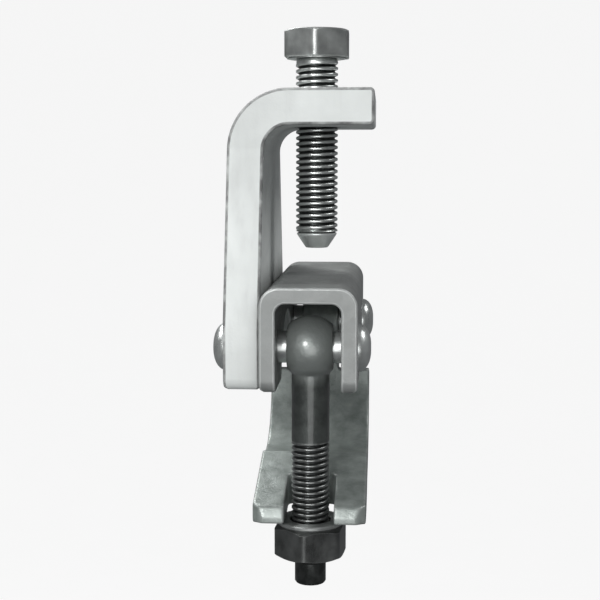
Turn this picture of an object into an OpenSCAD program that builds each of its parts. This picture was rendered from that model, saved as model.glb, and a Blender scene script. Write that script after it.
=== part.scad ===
// Girder clamp for a 48.3 mm tube: a C-shaped beam bracket and a pressed channel, riveted
// together by the two pivot pins, close on the tube with a hinged cap and a swing-out eye bolt.
// Origin: centre of the tube. X runs along the tube, -Y is the eye-bolt side, Z is up.

/* [Tube seat] */
// Radius of the seat that closes on the tube
seat_r = 24.2; // [20:0.1:32]

/* [Channel] */
// Length of the channel across the tube
channel_len = 96; // [80:1:120]
// Outside width of the channel
channel_w = 30; // [26:1:40]
// Wall thickness of the channel
channel_wall = 5; // [3:0.5:7]
// Height of the channel's flat top above the tube's centre
channel_top = 37; // [32:0.5:48]
// Height of the lower edges of the channel and bracket
skirt_z = 4.5; // [0:0.5:12]

/* [Beam bracket] */
// Plate thickness of the C-shaped bracket
plate = 11.5; // [8:0.5:16]
// Clear height of the jaw above the channel's top
jaw_gap = 49; // [30:1:70]
// How far the jaw reaches past the set bolt's axis
jaw_reach = 19.5; // [14:0.5:30]
// Width of the jaw and of the upper leg
jaw_w = 62; // [40:1:80]
// Width of the bracket's foot, where both pivot pins pass through it
foot_w = 88; // [86:1:96]
// Inside bend radius between leg and jaw
bend_r = 8; // [4:0.5:14]

/* [Pivots] */
// Distance of each pivot pin from the tube's centre plane
pivot_y = 34; // [31:0.5:42]
// Height of the pivot pins above the tube's centre
pivot_z = 17; // [14:0.5:22]
// Diameter of the pivot pins
pin_d = 10; // [8:0.5:12]
// Diameter of the formed rivet heads
rivet_head_d = 15; // [12:0.5:20]

/* [Bolts] */
// Thread diameter of the set bolt
set_d = 14; // [10:1:20]
// Distance of the set bolt's foot above the channel's top
flange_t = 8.9; // [4:0.1:20]
// Thread diameter of the eye bolt
eye_d = 12; // [10:1:16]
// Width across flats of the bolt head and the nut
flats = 21; // [17:1:24]

/* [Hinged cap] */
// Width of the cap along the tube
cap_w = 35.5; // [30:0.5:50]
// Wall thickness of the cap around the tube
cap_wall = 5.3; // [4:0.1:8]
// Width of the cap's hinge knuckle and back rib
rib_w = 13; // [9:0.5:17]
// Width of the slot between the fork's prongs
slot_w = 15.5; // [14:0.5:20]

/* [Hidden] */
$fn = 96;
hole_gap = 0.05;                            // running clearance on every moving pin or shaft
half_w = channel_w / 2;
half_len = channel_len / 2;
leg_x = -half_w - plate;                    // outside face of the bracket's leg
jaw_z = channel_top + jaw_gap;              // underside of the jaw
jaw_top = jaw_z + plate;
outer_bend_r = bend_r + plate;
plate_edge_r = 1.5;                         // rounding of the bracket's free ends
skirt_r = 4;                                // rounding of the lower corners in side view
flare_low_z = 24;                           // the leg is full width below here
flare_top_z = 78;                           // and jaw width above here
fold_r = [6, 3];                            // outside and inside radius of the channel's folds
channel_edge_r = 2;                         // rounding of the channel's lower edges
rivet_head_h = 4;
seam = 1;                                   // how far joined shapes run into one another
ball_r = 10;                                // the eye bolt's ball
ball_w = 14.4;                              // width across the ball's two flats
rocker_r = 55;                              // pivot pin to the fork's curved underside
washer_r = 10.5;
washer_t = 1.6;
nut_h = 10;
washer_z = pivot_z - rocker_r - 0.1;        // upper face of the washer
nut_z = washer_z - washer_t;
dog_z = nut_z - nut_h - 1.3;                // where the eye bolt's thread ends
bolt_end_z = -58.7;
foot_h = 5.1;                               // height of the set bolt's conical foot
foot_z = channel_top + flange_t;
head_z = 108.5;                             // underside of the set bolt's head
head_h = 9.5;
wrap_r = seat_r + cap_wall;                 // outside radius of the wide part of the cap
wing_slant = [2, 4.4];                      // depth and height of the slant on the wrap's end
fork_tip_y = -44.5;
fork_root_y = -23;                          // closed end of the slot
fork_tip_top_z = -31.8;
fork_nose = [1.3, 3.2];                     // depth and height of the slant at each prong's tip
prong_cut = 3;                              // prongs' outer corners, cut off at 45 degrees
slot_root_r = 2;
rib_r = 31.5;                               // outside radius of the cap's back rib
knuckle_r = 10;

// Draws a side view (first axis Y, second axis Z) as a plate between two X positions.
module side_plate(x_low, x_high) {
    translate([x_low, 0, 0]) rotate([90, 0, 90]) linear_extrude(x_high - x_low) children();
}

// Draws a front view (first axis X, second axis Z) as a bar running along Y.
module front_bar(y_low, y_high) {
    translate([0, y_high, 0]) rotate([90, 0, 0]) linear_extrude(y_high - y_low) children();
}

// A rod along X, centred on one pivot, between two X positions.
module pivot_rod(y, r, x_low, x_high) {
    translate([x_low, y, pivot_z]) rotate([0, 90, 0]) cylinder(r = r, h = x_high - x_low);
}

// Both pivot holes, cut through everything they meet.
module pivot_holes() {
    for (y = [-pivot_y, pivot_y]) pivot_rod(y, pin_d / 2, leg_x - seam, half_w + seam);
}

// The waste outside a rounded corner at the origin that points along +first and +second axis.
module corner_waste(r) {
    translate([-r, -r]) difference() {
        square(r + seam);
        circle(r);
    }
}

module rounded_square(x_low, x_high, y_low, y_high, r) {
    difference() {
        translate([x_low, y_low]) square([x_high - x_low, y_high - y_low]);
        translate([x_high, y_high]) corner_waste(r);
        translate([x_low, y_high]) mirror([1, 0]) corner_waste(r);
        translate([x_high, y_low]) mirror([0, 1]) corner_waste(r);
        translate([x_low, y_low]) rotate(180) corner_waste(r);
    }
}

module bracket_front() {
    difference() {
        union() {
            rounded_square(leg_x, -half_w, skirt_z, jaw_top, plate_edge_r);
            rounded_square(leg_x, jaw_reach, jaw_z, jaw_top, plate_edge_r);
            translate([-half_w - seam, jaw_z - bend_r]) square(bend_r + seam);
        }
        translate([-half_w + bend_r, jaw_z - bend_r]) circle(bend_r);
        translate([leg_x, jaw_top]) mirror([1, 0]) corner_waste(outer_bend_r);
    }
}

module bracket_side() {
    top = jaw_w / 2;
    low = foot_w / 2;
    difference() {
        polygon([[-low, skirt_z], [low, skirt_z], [low, flare_low_z],
                 [top, flare_top_z], [top, jaw_top], [-top, jaw_top],
                 [-top, flare_top_z], [-low, flare_low_z]]);
        circle(seat_r);
        for (side = [-1, 1]) scale([side, 1]) translate([low, skirt_z])
            mirror([0, 1]) corner_waste(skirt_r);
    }
}

module beam_bracket() {
    color("gainsboro") difference() {
        intersection() {
            front_bar(-foot_w / 2, foot_w / 2) bracket_front();
            side_plate(leg_x, jaw_reach) bracket_side();
        }
        pivot_holes();
        translate([0, 0, jaw_z - seam]) cylinder(r = set_d / 2 + hole_gap, h = plate + 2 * seam);
    }
}

module channel_front() {
    difference() {
        rounded_square(-half_w, half_w, skirt_z, channel_top, channel_edge_r);
        for (side = [-1, 1]) scale([side, 1]) translate([half_w, channel_top])
            corner_waste(fold_r[0]);
        rounded_square(-half_w + channel_wall, half_w - channel_wall,
                       skirt_z - channel_w, channel_top - channel_wall, fold_r[1]);
    }
}

module channel_side() {
    difference() {
        translate([-half_len, skirt_z]) square([channel_len, channel_top - skirt_z]);
        circle(seat_r);
        for (side = [-1, 1]) scale([side, 1]) translate([half_len, skirt_z])
            mirror([0, 1]) corner_waste(skirt_r);
    }
}

module saddle_channel() {
    color("darkgray") difference() {
        intersection() {
            front_bar(-half_len, half_len) channel_front();
            side_plate(-half_w, half_w) channel_side();
        }
        pivot_holes();
    }
}

// A domed rivet head that starts at the origin and rises along +Z.
module rivet_head() {
    dome_r = (pow(rivet_head_d / 2, 2) + pow(rivet_head_h, 2)) / (2 * rivet_head_h);
    intersection() {
        translate([0, 0, rivet_head_h - dome_r]) sphere(dome_r);
        cylinder(r = rivet_head_d, h = rivet_head_h + seam);
    }
}

// A plain pin whose two ends are formed into domes against the outside walls.
module riveted_pin(y) {
    color("silver") {
        pivot_rod(y, pin_d / 2, leg_x, half_w);
        translate([half_w, y, pivot_z]) rotate([0, 90, 0]) rivet_head();
        translate([leg_x, y, pivot_z]) rotate([0, -90, 0]) rivet_head();
    }
}

module eye_bolt_pin() {
    riveted_pin(-pivot_y);
}

module cap_pin() {
    riveted_pin(pivot_y);
}

module eye_bolt() {
    color("dimgray") difference() {
        translate([0, -pivot_y, 0]) union() {
            intersection() {
                translate([0, 0, pivot_z]) sphere(ball_r);
                translate([0, 0, pivot_z]) cube([ball_w, 2 * ball_r, 2 * ball_r], center = true);
            }
            translate([0, 0, dog_z]) cylinder(d = eye_d, h = pivot_z - dog_z);
            translate([0, 0, bolt_end_z]) cylinder(d = eye_d - 2, h = dog_z + seam - bolt_end_z);
        }
        pivot_rod(-pivot_y, pin_d / 2 + hole_gap, -ball_w, ball_w);
    }
}

module nut_washer() {
    color("gray") translate([0, -pivot_y, nut_z]) difference() {
        cylinder(r = washer_r, h = washer_t);
        translate([0, 0, -seam]) cylinder(d = eye_d + 1, h = washer_t + 2 * seam);
    }
}

// A hexagon with two corners on the first axis, given its width across flats.
module hexagon(height) {
    cylinder(d = flats / cos(30), h = height, $fn = 6);
}

module clamp_nut() {
    turned = 21;                            // a flat faces a little to one side of the front
    color("silver") translate([0, -pivot_y, nut_z - nut_h]) difference() {
        rotate(turned) hexagon(nut_h);
        translate([0, 0, -seam]) cylinder(d = eye_d + 2 * hole_gap, h = nut_h + 2 * seam);
    }
}

// The lower part of a disc, from the hinge side at tube height round to just past the bottom.
module lower_arc(r, y_end) {
    intersection() {
        circle(r);
        translate([y_end, -2 * r]) square([3 * r, 2 * r]);
    }
}

// The waste beyond the slanted end of the wrap, on the hinge side.
module wing_waste() {
    polygon([[wrap_r - 2 * wing_slant[0], wing_slant[1]], [wrap_r, -wing_slant[1]],
             [wrap_r + seam, -wing_slant[1]], [wrap_r + seam, wing_slant[1]]]);
}

// The wide body: the wrap round the tube, a web under it, and the fork that runs out from there.
// The fork's underside is round about the eye bolt's pin, so the bolt swings out past it.
module cap_body_side() {
    difference() {
        union() {
            lower_arc(wrap_r, -6);
            polygon([[2, -20], [2, -30], [-20, -34.2], [-20, -27]]);
            intersection() {
                polygon([[-3, -20.4], [-3, -45], [fork_tip_y, -45],
                         [fork_tip_y, fork_tip_top_z - fork_nose[1]],
                         [fork_tip_y + fork_nose[0], fork_tip_top_z]]);
                translate([-pivot_y, pivot_z]) circle(rocker_r);
            }
        }
        circle(seat_r);
        wing_waste();
    }
}

// The back rib: it leaves the knuckle along the tangent and follows the wrap to the fork.
module cap_rib_side() {
    span = norm([pivot_y, pivot_z]);
    lean = atan2(pivot_z, pivot_y) - acos((rib_r - knuckle_r) / span);
    along = [cos(lean), sin(lean)];
    difference() {
        union() {
            translate([pivot_y, pivot_z]) circle(knuckle_r);
            lower_arc(rib_r, -4);
            polygon([[0, 0], (rib_r - 0.1) * along,
                     [pivot_y, pivot_z] + (knuckle_r - 0.1) * along, [pivot_y, pivot_z]]);
            polygon([[2, -24], [2, -31], [-21, -35.9], [-21, -29]]);
        }
        circle(seat_r);
    }
}

// Seen from above, with the slot open at the front and the prongs' outer corners cut off.
module cap_plan() {
    half = cap_w / 2;
    cut_y = fork_tip_y + prong_cut;
    difference() {
        polygon([[-half, seat_r * 2], [-half, cut_y], [-half + prong_cut, fork_tip_y],
                 [half - prong_cut, fork_tip_y], [half, cut_y], [half, seat_r * 2]]);
        rounded_square(-slot_w / 2, slot_w / 2, fork_tip_y - slot_w, fork_root_y, slot_root_r);
    }
}

module hinged_cap() {
    color("dimgray") difference() {
        union() {
            intersection() {
                side_plate(-cap_w / 2, cap_w / 2) cap_body_side();
                translate([0, 0, -2 * seat_r]) linear_extrude(2 * seat_r + seam) cap_plan();
            }
            side_plate(-rib_w / 2, rib_w / 2) cap_rib_side();
        }
        pivot_rod(pivot_y, pin_d / 2 + hole_gap, -rib_w, rib_w);
    }
}

module set_bolt() {
    color("silver") {
        translate([0, 0, foot_z + foot_h]) cylinder(d = set_d, h = head_z + seam - foot_z - foot_h);
        translate([0, 0, head_z]) rotate(30) hexagon(head_h);
    }
}

module swivel_foot() {
    color("lightgray") translate([0, 0, foot_z]) cylinder(d1 = 8, d2 = set_d - 0.5, h = foot_h);
}

beam_bracket();
saddle_channel();
eye_bolt_pin();
cap_pin();
eye_bolt();
nut_washer();
clamp_nut();
hinged_cap();
set_bolt();
swivel_foot();
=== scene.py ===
"""Looks of a girder clamp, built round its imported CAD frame.

Lengths are in millimetres, in the CAD's frame. They become metres where a mesh, a material, a
light or the camera is made.
"""

import math

import bmesh
import bpy
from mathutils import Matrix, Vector


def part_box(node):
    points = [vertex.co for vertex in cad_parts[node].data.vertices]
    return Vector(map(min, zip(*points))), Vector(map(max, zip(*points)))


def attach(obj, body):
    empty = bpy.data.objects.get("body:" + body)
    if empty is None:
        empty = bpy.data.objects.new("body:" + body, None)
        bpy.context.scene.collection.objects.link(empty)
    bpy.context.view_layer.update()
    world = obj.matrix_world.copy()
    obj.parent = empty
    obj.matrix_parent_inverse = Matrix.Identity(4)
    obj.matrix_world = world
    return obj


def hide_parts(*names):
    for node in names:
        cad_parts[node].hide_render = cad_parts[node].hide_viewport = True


MM = 0.001
TURN = 2 * math.pi

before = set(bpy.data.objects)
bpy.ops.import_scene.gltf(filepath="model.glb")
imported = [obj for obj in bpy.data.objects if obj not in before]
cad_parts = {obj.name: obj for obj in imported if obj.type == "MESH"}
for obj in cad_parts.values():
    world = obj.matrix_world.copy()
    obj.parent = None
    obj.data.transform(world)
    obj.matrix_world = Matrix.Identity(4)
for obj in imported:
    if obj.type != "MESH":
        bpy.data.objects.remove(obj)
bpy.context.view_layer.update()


def box_mm(node):
    """Lowest and highest corner of a CAD node, in millimetres."""
    return [[round(c / MM, 3) for c in corner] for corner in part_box(node)]


# places and sizes from the CAD's boxes
PIN_LOW, PIN_HIGH = box_mm("cap_pin")
PIVOT_Y = (PIN_LOW[1] + PIN_HIGH[1]) / 2
PIVOT_Z = (PIN_LOW[2] + PIN_HIGH[2]) / 2
RIVET_R = (PIN_HIGH[2] - PIN_LOW[2]) / 2
SET_TOP_Z = box_mm("set_bolt")[1][2]
FOOT_Z = box_mm("swivel_foot")[0][2]
FOOT_TOP_Z = box_mm("swivel_foot")[1][2]
WASHER_Z = box_mm("nut_washer")[0][2]
WASHER_TOP_Z = box_mm("nut_washer")[1][2]
NUT_Z = box_mm("clamp_nut")[0][2]
NUT_TOP_Z = box_mm("clamp_nut")[1][2]
BOLT_END_Z = box_mm("eye_bolt")[0][2]
CAP_NOSE_Y = box_mm("hinged_cap")[0][1]

# sizes that the CAD has too, but that its boxes don't give. The pitches are those of its joints
SET_R = 7
SET_PITCH = 2
SET_HEAD_H = 9.5
SET_HEAD_Z = SET_TOP_Z - SET_HEAD_H
EYE_R = 6
EYE_PITCH = 1.75
DOG_Z = NUT_Z - 1.3  # the eye bolt's thread ends here, and a plain dog is below it
PIN_R = 5
RIVET_H = 4

# hexagons of the set bolt's head and of the nut
FLATS = 21
SHARP_R = FLATS / 2 / math.cos(math.pi / 6)
CORNER_R = SHARP_R - 0.35
CHAMFER_R = FLATS / 2 * 0.95
CHAMFER_SLOPE = 0.5
NUT_TURNED = 21
HEAD_TURNED = 30

# a thread's depth as a share of its pitch, and how much of it is cut at even steps of one pitch
THREAD_DEPTH = 0.52
THREAD_CUT = [0.0, 0.0, 0.05, 0.5, 0.95, 1.0, 0.95, 0.5, 0.05, 0.0]
THREAD_TOP_Z = -12  # the eye bolt's shank is plain above this


# ---------------------------------------------------------------- meshes


def solid(name, mesh, material, body, slot, *nodes):
    """A finished piece: its mesh in metres, its material, its body and the nodes it stands for."""
    piece = bpy.data.objects.new(name, mesh)
    bpy.context.scene.collection.objects.link(piece)
    mesh.materials.append(material)
    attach(piece, body)
    if nodes:
        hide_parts(*nodes)


def ring(radius, z, sides=96):
    """One ring of points about Z. radius and z are numbers or functions of the angle."""
    points = []
    for i in range(sides):
        angle = TURN * i / sides
        r = radius(angle) if callable(radius) else radius
        height = z(angle) if callable(z) else z
        points.append(Vector((r * math.cos(angle), r * math.sin(angle), height)))
    return points


def placed(rings, y=0, z=0, turned=0):
    """The rings turned about Z by some degrees and then moved."""
    c = math.cos(math.radians(turned))
    s = math.sin(math.radians(turned))
    return [[Vector((c * p.x - s * p.y, s * p.x + c * p.y + y, p.z + z)) for p in points]
            for points in rings]


def bridge(bm, rings, looped=False):
    """Rows of vertices in metres, with quads from each row to the next."""
    rows = [[bm.verts.new(p * MM) for p in points] for points in rings]
    nexts = rows[1:] + rows[:1] if looped else rows[1:]
    for low, high in zip(rows, nexts):
        for i in range(len(low)):
            j = (i + 1) % len(low)
            bm.faces.new((low[i], low[j], high[j], high[i]))
    return rows


def skin(rings, looped=False, sharp=35):
    """A closed mesh over a stack of rings. Looped joins the last ring to the first."""
    bm = bmesh.new()
    rows = bridge(bm, rings, looped)
    if not looped:
        bm.faces.new(list(reversed(rows[0])))
        bm.faces.new(rows[-1])
    bmesh.ops.recalc_face_normals(bm, faces=bm.faces)
    return to_mesh(bm, sharp)


def to_mesh(bm, sharp):
    """Ends a bmesh as a smooth-shaded mesh whose edges steeper than sharp degrees stay crisp."""
    mesh = bpy.data.meshes.new("piece")
    bm.to_mesh(mesh)
    bm.free()
    mesh.shade_smooth()
    mesh.set_sharp_from_angle(angle=math.radians(sharp))
    return mesh


def thread_rows(radius, pitch, low, high, fade_low, fade_high):
    """Rings of a right-hand thread about Z. The cut starts and ends over the fade lengths."""
    depth = THREAD_DEPTH * pitch
    steps = len(THREAD_CUT)
    count = int(round((high - low) / pitch * steps))
    rows = []
    for k in range(count + 1):
        z = low + k * pitch / steps
        fade = max(0.0, min(1.0, (z - low) / fade_low, (high - z) / fade_high))

        def radius_at(angle, k=k, fade=fade):
            place = (k - angle / TURN * steps) % steps
            i = int(place)
            part = place - i
            cut = THREAD_CUT[i] * (1 - part) + THREAD_CUT[(i + 1) % steps] * part
            return radius - depth * cut * fade

        rows.append(ring(radius_at, z))
    return rows


def hex_radius(angle):
    """Distance from the centre of a hexagon to its outline, whose corners are rubbed off."""
    off = (angle + math.pi / 6) % (math.pi / 3) - math.pi / 6
    return min(FLATS / 2 / math.cos(math.pi / 6 - abs(off)), CORNER_R)


def chamfer_drop(angle):
    """How far a hexagon's chamfer falls from the flat face to the outline."""
    return (hex_radius(angle) - CHAMFER_R) * CHAMFER_SLOPE


def hex_top_rings(height):
    """The upper part of a hexagon's outside, from its walls to its flat top."""
    return [ring(hex_radius, lambda a: height - chamfer_drop(a)), ring(CHAMFER_R, height)]


def softened(node, width):
    """A copy of a CAD node's mesh with its flat faces cleaned and its edges rounded.

    Its "worn" attribute is 1 on the rounded edges.
    """
    weld = 0.2 * MM
    flat = math.radians(0.5)
    corner = math.radians(30)
    bm = bmesh.new()
    bm.from_mesh(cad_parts[node].data)
    bmesh.ops.remove_doubles(bm, verts=bm.verts, dist=weld)
    bmesh.ops.dissolve_limit(bm, angle_limit=flat, verts=bm.verts, edges=bm.edges)
    edges = [e for e in bm.edges if len(e.link_faces) == 2 and e.calc_face_angle(0) > corner]
    rounded_edges = bm.faces.layers.float.new("rounded_edges")
    rounded = bmesh.ops.bevel(bm, geom=edges, offset=width * MM, segments=3, profile=0.5,
                              affect="EDGES", clamp_overlap=False, miter_outer="ARC")
    for face in rounded["faces"]:
        face[rounded_edges] = 1.0
    mesh = to_mesh(bm, 40)
    settle_normals(mesh)
    return mesh


def settle_normals(mesh):
    """Weights every corner's normal by area, so that flat faces stay flat beside rounded edges."""
    normals = [Vector() for _ in mesh.vertices]
    for face in mesh.polygons:
        for corner in face.vertices:
            normals[corner] += face.normal * face.area
    mesh.normals_split_custom_set_from_vertices([n.normalized() for n in normals])


def forged(node, voxel, rounds, cut_z=None):
    """A copy of a CAD node's mesh with every edge and corner melted round, as a forging has.

    What lies below cut_z is cut away and the cut is closed.
    """
    scratch = bpy.data.objects.new("scratch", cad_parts[node].data.copy())
    bpy.context.scene.collection.objects.link(scratch)
    remesh = scratch.modifiers.new("remesh", "REMESH")
    remesh.mode = "VOXEL"
    remesh.voxel_size = voxel * MM
    smooth = scratch.modifiers.new("smooth", "SMOOTH")
    smooth.factor = 0.5
    smooth.iterations = rounds
    bm = bmesh.new()
    bm.from_object(scratch, bpy.context.evaluated_depsgraph_get())
    bpy.data.objects.remove(scratch)
    if cut_z is not None:
        cut = bmesh.ops.bisect_plane(bm, geom=bm.verts[:] + bm.edges[:] + bm.faces[:],
                                     plane_co=(0, 0, cut_z * MM), plane_no=(0, 0, -1),
                                     clear_outer=True)
        rim = [e for e in cut["geom_cut"] if isinstance(e, bmesh.types.BMEdge)]
        bmesh.ops.edgeloop_fill(bm, edges=rim)
        bmesh.ops.dissolve_degenerate(bm, dist=0.02 * MM, edges=bm.edges)
    return to_mesh(bm, 60)


# ------------------------------------------------------------- materials


class Shader:
    """A material under construction: short calls that add nodes and join them up."""

    def __init__(self, name, metallic, roughness=0.5, specular=0.5):
        self.material = bpy.data.materials.new(name)
        self.material.use_nodes = True
        self.tree = self.material.node_tree
        self.bsdf = self.tree.nodes["Principled BSDF"]
        self.bsdf.inputs["Metallic"].default_value = metallic
        self.bsdf.inputs["Roughness"].default_value = roughness
        self.bsdf.inputs["Specular IOR Level"].default_value = specular
        self.place = self.add("ShaderNodeTexCoord").outputs["Object"]

    def add(self, kind, **values):
        """A new node with some of its inputs linked or set."""
        node = self.tree.nodes.new(kind)
        for socket, value in values.items():
            self.put(node.inputs[socket], value)
        return node

    def put(self, socket, value):
        """Links another node's output to a socket, or sets the socket to a plain value."""
        if isinstance(value, bpy.types.NodeSocket):
            self.tree.links.new(value, socket)
        else:
            socket.default_value = value

    def noise(self, size, stretch=(1, 1, 1), detail=4, rough=0.55):
        """Noise from 0 to 1 whose blotches are about size millimetres across."""
        mapping = self.add("ShaderNodeMapping", Vector=self.place,
                           Scale=[1 / s for s in stretch])
        node = self.add("ShaderNodeTexNoise", Vector=mapping.outputs["Vector"],
                        Scale=1 / (size * MM), Detail=detail, Roughness=rough)
        return node.outputs["Fac"]

    def cells(self, size):
        """A random level for each crystal of about size millimetres."""
        node = self.add("ShaderNodeTexVoronoi", Vector=self.place, Scale=1 / (size * MM))
        split = self.add("ShaderNodeSeparateColor", Color=node.outputs["Color"])
        return split.outputs["Red"]

    def along(self, axis):
        """The place along one axis, in metres."""
        return self.add("ShaderNodeSeparateXYZ", Vector=self.place).outputs[axis]

    def span(self, value, low, high, to_low=0.0, to_high=1.0):
        """Maps value from low..high to to_low..to_high, clamped."""
        node = self.add("ShaderNodeMapRange", Value=value)
        for socket, number in (("From Min", low), ("From Max", high),
                               ("To Min", to_low), ("To Max", to_high)):
            node.inputs[socket].default_value = number
        return node.outputs["Result"]

    def calc(self, operation, first, second):
        """One mathematical operation on two values."""
        node = self.add("ShaderNodeMath")
        node.operation = operation
        self.put(node.inputs[0], first)
        self.put(node.inputs[1], second)
        return node.outputs[0]

    def plus(self, first, second):
        """Two values added up."""
        return self.calc("ADD", first, second)

    def times(self, first, second):
        """Two values multiplied."""
        return self.calc("MULTIPLY", first, second)

    def blend(self, first, second, amount):
        """A colour between two colours."""
        node = self.add("ShaderNodeMix")
        node.data_type = "RGBA"
        self.put(node.inputs[0], amount)
        self.put(node.inputs[6], first)
        self.put(node.inputs[7], second)
        return node.outputs[2]

    def corners(self, radius):
        """About 1 on outer and inner edges within radius millimetres, and 0 on open faces."""
        bevel = self.add("ShaderNodeBevel", Radius=radius * MM)
        bevel.samples = 6
        dot = self.add("ShaderNodeVectorMath")
        dot.operation = "DOT_PRODUCT"
        self.put(dot.inputs[0], bevel.outputs["Normal"])
        self.put(dot.inputs[1], self.add("ShaderNodeNewGeometry").outputs["Normal"])
        return self.span(dot.outputs["Value"], 0.995, 0.9)

    def rounded_edges(self):
        """1 on the rounded edges of a softened() mesh."""
        node = self.add("ShaderNodeAttribute")
        node.attribute_name = "rounded_edges"
        return node.outputs["Fac"]

    def ridges(self, low, high):
        """Rises from 0 to 1 on the outward curves of a dense mesh."""
        node = self.add("ShaderNodeNewGeometry")
        return self.span(node.outputs["Pointiness"], low, high)

    def crevice(self, reach):
        """1 in the open and lower where other surfaces come within reach millimetres."""
        node = self.add("ShaderNodeAmbientOcclusion", Distance=reach * MM)
        node.samples = 6
        return node.outputs["AO"]

    def axis_distance(self, x, y):
        """Distance in millimetres from a vertical axis."""
        dx = self.calc("POWER", self.calc("SUBTRACT", self.along("X"), x * MM), 2)
        dy = self.calc("POWER", self.calc("SUBTRACT", self.along("Y"), y * MM), 2)
        return self.times(self.calc("POWER", self.plus(dx, dy), 0.5), 1 / MM)

    def finish(self, colour, roughness=None, height=None, bump_mm=0.05):
        """The material, with its colour and, if given, its roughness and its bumps."""
        self.put(self.bsdf.inputs["Base Color"], colour)
        if roughness is not None:
            self.put(self.bsdf.inputs["Roughness"], roughness)
        if height is not None:
            bump = self.add("ShaderNodeBump", Height=height, Distance=bump_mm * MM, Strength=1.0)
            self.put(self.bsdf.inputs["Normal"], bump.outputs["Normal"])
        return self.material


def grey(value, green=0.02):
    """A faintly green grey."""
    return (value * (1 - green), value * (1 + green), value, 1)


def pale_paint():
    """Patchy, streaked paint; edges darker as scuffs and painted shade; painted shade in corners.
    """
    s = Shader("pale_paint", metallic=0.0, specular=0.45)
    patches = s.noise(22, detail=3)
    streaks = s.noise(3, stretch=(1, 1, 14), detail=5)
    grain = s.noise(0.9, detail=3)
    coat = s.blend(grey(0.66), grey(0.80), s.span(patches, 0.3, 0.7))
    coat = s.blend(coat, grey(0.56, 0.01), s.span(streaks, 0.54, 0.8, 0, 0.32))
    # Rounded edges painted darker: partly scuffed paint, partly painted shade.
    edge_scuffs_and_painted_light = s.times(s.rounded_edges(), s.span(s.noise(5), 0.3, 0.6, 0.35, 0.9))
    coat = s.blend(coat, grey(0.12, 0.0), edge_scuffs_and_painted_light)
    # Painted shade: darker where other surfaces come near, in corners and recesses.
    painted_crevice_shade = s.span(s.crevice(7), 0.35, 0.95, 0.6, 0)
    coat = s.blend(coat, grey(0.12, 0.03), painted_crevice_shade)
    rough = s.span(streaks, 0.3, 0.7, 0.42, 0.6)
    height = s.plus(s.times(grain, 0.5), s.times(patches, 2))
    return s.finish(coat, rough, height, 0.12)


def zinc_sheet():
    """Dull galvanised sheet with faint crystals and drawing marks, a painted highlight on its
    edges and painted shade in its corners.
    """
    s = Shader("zinc_sheet", metallic=0.35)
    spangle = s.cells(2.6)
    cloud = s.noise(12)
    drawn = s.noise(0.8, stretch=(1, 30, 1), detail=3)
    tone = s.plus(s.times(spangle, 0.2), s.times(cloud, 0.8))
    colour = s.blend(grey(0.20), grey(0.31), s.span(tone, 0.2, 0.75))
    # Rounded edges painted lighter: a painted highlight.
    colour = s.blend(colour, grey(0.6), s.times(s.rounded_edges(), 0.55))
    # Painted shade in corners and recesses, where other surfaces come near.
    painted_crevice_shade = s.span(s.crevice(6), 0.3, 0.9, 0.6, 0)
    colour = s.blend(colour, grey(0.05, 0.03), painted_crevice_shade)
    rough = s.span(s.plus(spangle, cloud), 0.5, 1.5, 0.36, 0.56)
    return s.finish(colour, rough, s.plus(drawn, s.times(cloud, 2)), 0.05)


def dark_forging(name, dark, light, metallic, coat, painted_light_end):
    """Oiled forging scale, lighter on the ridges (scuffs and painted highlight) and on one end.

    The last argument is an axis, the places in millimetres where the scale starts and ends to
    give way along it, and the lighter grey beyond, which is painted light on that end.
    """
    s = Shader(name, metallic=metallic, specular=0.3)
    s.bsdf.inputs["Coat Weight"].default_value = coat
    s.bsdf.inputs["Coat Roughness"].default_value = 0.09
    scale = s.noise(5, detail=6, rough=0.6)
    pits = s.noise(0.7, detail=3)
    colour = s.blend(grey(dark, 0.06), grey(light, 0.05), s.span(scale, 0.3, 0.7))
    # One end painted a lighter grey: painted light, standing in for a highlight or the light that
    # end catches.
    axis, start, end, steel = painted_light_end
    colour = s.blend(colour, grey(steel, 0.04), s.span(s.along(axis), start * MM, end * MM))
    # Ridges painted lighter: partly scuffed scale, partly a painted highlight.
    edge_scuffs_and_painted_light = s.times(s.ridges(0.51, 0.57), s.span(s.noise(2.5), 0.35, 0.6, 0.2, 0.9))
    colour = s.blend(colour, grey(0.38, 0.02), edge_scuffs_and_painted_light)
    rough = s.span(scale, 0.3, 0.7, 0.33, 0.5)
    height = s.plus(s.times(scale, 3), s.times(pits, 0.8))
    return s.finish(colour, rough, height, 0.08)


def thread_steel(name, y, root, crest, dark, bright):
    """Painted bright on the crests (scuffs and painted highlight) and dark in the roots as painted
    shade, by distance from the bolt's axis at y.
    """
    s = Shader(name, metallic=0.85)
    # Crests painted bright, partly as scuffs and partly as a painted highlight; roots painted dark
    # as painted shade.
    wear = s.span(s.noise(3), 0.3, 0.7, -0.25, 0.2)
    crests = s.span(s.plus(s.axis_distance(0, y), wear), root, crest)
    colour = s.blend(grey(dark, 0.04), grey(bright), crests)
    # Painted shade: near black deep in the thread's roots.
    colour = s.blend(grey(0.01), colour, s.span(s.crevice(1.6), 0.25, 0.7))
    rough = s.span(crests, 0, 1, 0.36, 0.28)
    return s.finish(colour, rough, s.noise(0.5), 0.02)


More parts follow.
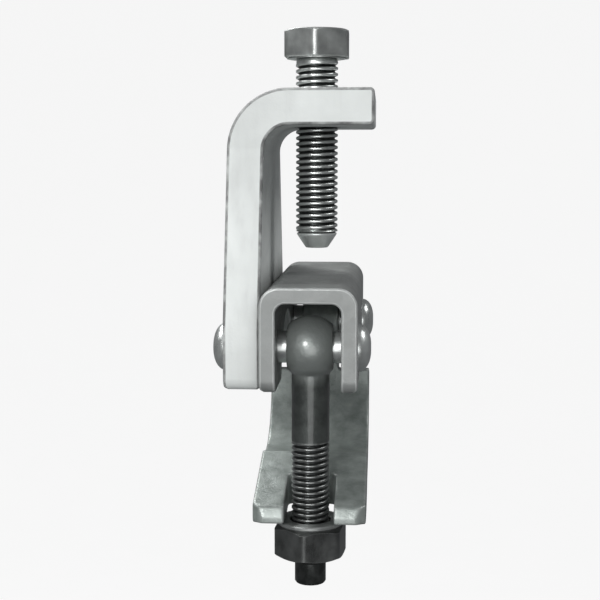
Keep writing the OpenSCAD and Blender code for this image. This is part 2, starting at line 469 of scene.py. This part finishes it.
def plated(name, dark, bright, rough_low, rough_high):
    """Machined, plated steel with fine marks; corners lighter as scuffs and painted highlight."""
    s = Shader(name, metallic=0.8)
    cloud = s.noise(6)
    marks = s.noise(0.5, stretch=(1, 1, 10), detail=3)
    colour = s.blend(grey(dark), grey(bright), s.span(cloud, 0.3, 0.7))
    # Corners painted lighter: partly scuffed plating, partly a painted highlight.
    edge_scuffs_and_painted_light = grey(min(1.0, bright * 1.5))
    colour = s.blend(colour, edge_scuffs_and_painted_light, s.times(s.corners(0.5), 0.6))
    rough = s.span(s.plus(cloud, marks), 0.7, 1.3, rough_low, rough_high)
    return s.finish(colour, rough, s.plus(marks, s.times(cloud, 1.5)), 0.03)


# ---------------------------------------------------------------- pieces


def make_bracket(paint):
    solid("bracket_plate", softened("beam_bracket", width=0.95), paint, "frame",
          "painted_bracket", "beam_bracket")


def make_channel(zinc):
    solid("channel_pressing", softened("saddle_channel", width=0.7), zinc, "frame",
          "galvanised_channel", "saddle_channel")


def make_cap(forging):
    solid("cap_forging", forged("hinged_cap", voxel=0.5, rounds=4), forging, "cap",
          "forged_dark", "hinged_cap")


def make_pins(steel):
    """Each pin has two domed heads that were formed against the outside walls."""
    left_x = PIN_LOW[0] + RIVET_H
    right_x = PIN_HIGH[0] - RIVET_H
    shoulder = 0.01
    steps = 9
    dome = []
    for i in range(steps):
        lift = math.radians(90 * i / steps)
        dome.append((RIVET_R * math.cos(lift) ** 0.8, RIVET_H * math.sin(lift)))
    outline = [(r, left_x - h) for r, h in reversed(dome)]
    outline += [(PIN_R, left_x + shoulder), (PIN_R, right_x - shoulder)]
    outline += [(r, right_x + h) for r, h in dome]
    for name, y in (("eye_bolt_pin", -PIVOT_Y), ("cap_pin", PIVOT_Y)):
        rings = [[Vector((p.z, p.x + y, p.y + PIVOT_Z)) for p in ring(r, x, sides=64)]
                 for r, x in outline]
        solid(name + "_rivet", skin(rings), steel, "frame", "pin_steel", name)


def make_eye_bolt(forging, threads):
    """The ball, neck and plain shank are one forging, and the thread runs up into it."""
    shank = forged("eye_bolt", voxel=0.4, rounds=3, cut_z=THREAD_TOP_Z - 1)
    solid("eye_forging", shank, forging, "eye_bolt", "forged_dark", "eye_bolt")
    dog_r = 4.95
    dog_chamfer = 0.35
    rows = [ring(3.5, BOLT_END_Z), ring(dog_r - dog_chamfer, BOLT_END_Z),
            ring(dog_r, BOLT_END_Z + 0.5), ring(dog_r, DOG_Z - 0.8)]
    rows += thread_rows(EYE_R - 0.02, EYE_PITCH, DOG_Z, THREAD_TOP_Z + 1, fade_low=1.2,
                        fade_high=2.5)
    rows += [ring(5.0, THREAD_TOP_Z + 1.5), ring(3.0, THREAD_TOP_Z + 1.6)]
    solid("eye_bolt_thread", skin(placed(rows, y=-PIVOT_Y), sharp=50), threads, "eye_bolt",
          "forged_dark")


def make_washer(steel):
    outer = 10.5
    inner = 6.5
    edge = 0.3
    height = WASHER_TOP_Z - WASHER_Z
    rows = [ring(inner, edge), ring(inner + edge, 0), ring(outer - edge * 2, 0),
            ring(outer, edge * 2), ring(outer, height - edge), ring(outer - edge, height),
            ring(inner + edge, height), ring(inner, height - edge)]
    solid("washer_ring", skin(placed(rows, y=-PIVOT_Y, z=WASHER_Z), looped=True), steel,
          "washer", "washer_steel", "nut_washer")


def make_nut(steel):
    """A hexagon with both faces chamfered, outside and round the bore."""
    bore = EYE_R + 0.06
    lead = 0.9
    height = NUT_TOP_Z - NUT_Z
    rows = [ring(CHAMFER_R, 0), ring(hex_radius, chamfer_drop)]
    rows += hex_top_rings(height)
    rows += [ring(bore + lead, height), ring(bore, height - lead), ring(bore, lead),
             ring(bore + lead, 0)]
    rows = placed(rows, y=-PIVOT_Y, z=NUT_Z, turned=NUT_TURNED)
    solid("nut_hexagon", skin(rows, looped=True, sharp=25), steel, "nut", "nut_steel",
          "clamp_nut")


def make_set_bolt(threads, steel):
    """The thread, and a head that has a washer face below and a chamfer on top."""
    rows = [ring(4.8, FOOT_TOP_Z + 0.05), ring(6.0, FOOT_TOP_Z + 0.05)]
    rows += thread_rows(SET_R, SET_PITCH, FOOT_TOP_Z + 0.4, SET_HEAD_Z - 1, fade_low=1.2,
                        fade_high=1.5)
    rows += [ring(SET_R - 0.4, SET_HEAD_Z + 0.4), ring(4.0, SET_HEAD_Z + 0.5)]
    solid("set_bolt_thread", skin(rows, sharp=50), threads, "set_bolt", "bolt_steel",
          "set_bolt")
    face_r = 9.6
    face_h = 0.3
    edge = 0.3
    rows = [ring(6.0, 0.2), ring(face_r, 0), ring(face_r, 0.4)]
    rows += [ring(lambda a: hex_radius(a) - edge, face_h), ring(hex_radius, face_h + edge)]
    rows += hex_top_rings(SET_HEAD_H)
    rows += [ring(7.5, SET_HEAD_H), ring(3.0, SET_HEAD_H)]
    rows = placed(rows, z=SET_HEAD_Z, turned=HEAD_TURNED)
    solid("set_bolt_head", skin(rows, sharp=25), steel, "set_bolt", "bolt_steel")


def make_foot(steel):
    """A cone with a short cylindrical shoulder, both rounded off."""
    rows = [ring(2.5, 0), ring(3.6, 0), ring(4.0, 0.4), ring(6.4, 4.0), ring(6.7, 4.5),
            ring(6.7, 4.8), ring(6.4, 5.05), ring(3, 5.05)]
    solid("foot_cone", skin(placed(rows, z=FOOT_Z)), steel, "foot", "foot_steel",
          "swivel_foot")


# ----------------------------------------------------------------- stage


def paper():
    """Dark paper that glows, so that the ground is even and nearly white in any light."""
    s = Shader("paper", metallic=0.0, roughness=0.8, specular=0.2)
    s.bsdf.inputs["Emission Color"].default_value = (1, 1, 1, 1)
    s.bsdf.inputs["Emission Strength"].default_value = 0.9
    return s.finish(s.blend(grey(0.04, 0), grey(0.06, 0), s.noise(40)))


def make_stage():
    """A floor whose rim curves up into a wall, the same from every side.

    The clamp's own reflections don't see it.
    """
    floor_z = BOLT_END_Z - 300
    flat_r = 900
    curve_r = 700
    wall_top_z = 3000
    steps = 12
    rings = [ring(1, floor_z), ring(flat_r, floor_z)]
    for i in range(1, steps + 1):
        lift = math.radians(90 * i / steps)
        rings.append(ring(flat_r + curve_r * math.sin(lift),
                          floor_z + curve_r * (1 - math.cos(lift))))
    rings.append(ring(flat_r + curve_r, wall_top_z))
    bm = bmesh.new()
    rows = bridge(bm, rings)
    bm.faces.new(rows[0])
    floor = bpy.data.objects.new("floor", to_mesh(bm, 60))
    bpy.context.scene.collection.objects.link(floor)
    floor.data.materials.append(paper())
    floor.visible_diffuse = False
    floor.visible_glossy = False


def facing(place, target):
    """The turn that makes a light or a camera at place look at target."""
    return (Vector(target) - Vector(place)).to_track_quat("-Z", "Y")


def add_area(name, place, width, height, power):
    """A soft light, its power in watts, that faces the clamp and doesn't show in the picture."""
    clamp_middle = (0, 0, 30)
    light = bpy.data.objects.new(name, bpy.data.lights.new(name, "AREA"))
    light.data.shape = "ELLIPSE"
    light.data.size = width * MM
    light.data.size_y = height * MM
    light.data.energy = power
    light.visible_camera = False
    light.location = Vector(place) * MM
    light.rotation_mode = "QUATERNION"
    light.rotation_quaternion = facing(place, clamp_middle)
    bpy.context.scene.collection.objects.link(light)


def make_lights():
    add_area("key", (-230, -800, 300), 260, 260, 3.7)
    add_area("front", (50, -855, -10), 640, 560, 2.2)
    add_area("left", (-620, -60, 640), 400, 400, 2.9)
    add_area("right", (620, 60, 640), 400, 400, 2.4)
    add_area("back", (-385, 460, 740), 360, 360, 5.8)
    world = bpy.data.worlds.new("studio")
    bpy.context.scene.world = world
    world.use_nodes = True
    background = world.node_tree.nodes["Background"]
    background.inputs["Color"].default_value = (0.95, 0.97, 1.0, 1)
    background.inputs["Strength"].default_value = 0.15
    bpy.context.scene.view_settings.view_transform = "Standard"


def make_camera():
    """In front of the bolt side, a little to the right, at the height of the flange slot."""
    place = (22.5, -405, 75)
    target = (-5, -10, 29)
    camera = bpy.data.objects.new("camera", bpy.data.cameras.new("camera"))
    bpy.context.scene.collection.objects.link(camera)
    camera.data.lens = 72
    camera.data.clip_start = 10 * MM
    camera.location = Vector(place) * MM
    camera.rotation_mode = "QUATERNION"
    camera.rotation_quaternion = facing(place, target)
    bpy.context.scene.camera = camera


def main():
    # Painted light: a painted highlight on the cap's nose, and the eye bolt's ball painted lighter
    # for the light it catches.
    nose = ("Y", CAP_NOSE_Y + 1.5, CAP_NOSE_Y - 1.5, 0.5)
    ball = ("Z", PIVOT_Z - 12, PIVOT_Z - 6, 0.24)
    make_bracket(pale_paint())
    make_channel(zinc_sheet())
    make_cap(dark_forging("cap_forging", dark=0.19, light=0.32, metallic=0.35, coat=0.2,
                          painted_light_end=nose))
    make_pins(plated("rivet_steel", dark=0.5, bright=0.72, rough_low=0.25, rough_high=0.4))
    make_eye_bolt(dark_forging("eye_forging", dark=0.035, light=0.08, metallic=0.5, coat=0.6,
                               painted_light_end=ball),
                  thread_steel("eye_threads", y=-PIVOT_Y, root=4.8, crest=5.95, dark=0.04,
                               bright=0.22))
    make_washer(plated("washer_steel", dark=0.28, bright=0.45, rough_low=0.35, rough_high=0.5))
    make_nut(plated("nut_steel", dark=0.08, bright=0.18, rough_low=0.26, rough_high=0.4))
    make_set_bolt(thread_steel("set_threads", y=0, root=6.1, crest=6.95, dark=0.05, bright=0.6),
                  plated("head_steel", dark=0.26, bright=0.42, rough_low=0.32, rough_high=0.45))
    make_foot(plated("foot_steel", dark=0.75, bright=0.95, rough_low=0.3, rough_high=0.4))
    make_stage()
    make_lights()
    make_camera()


main()
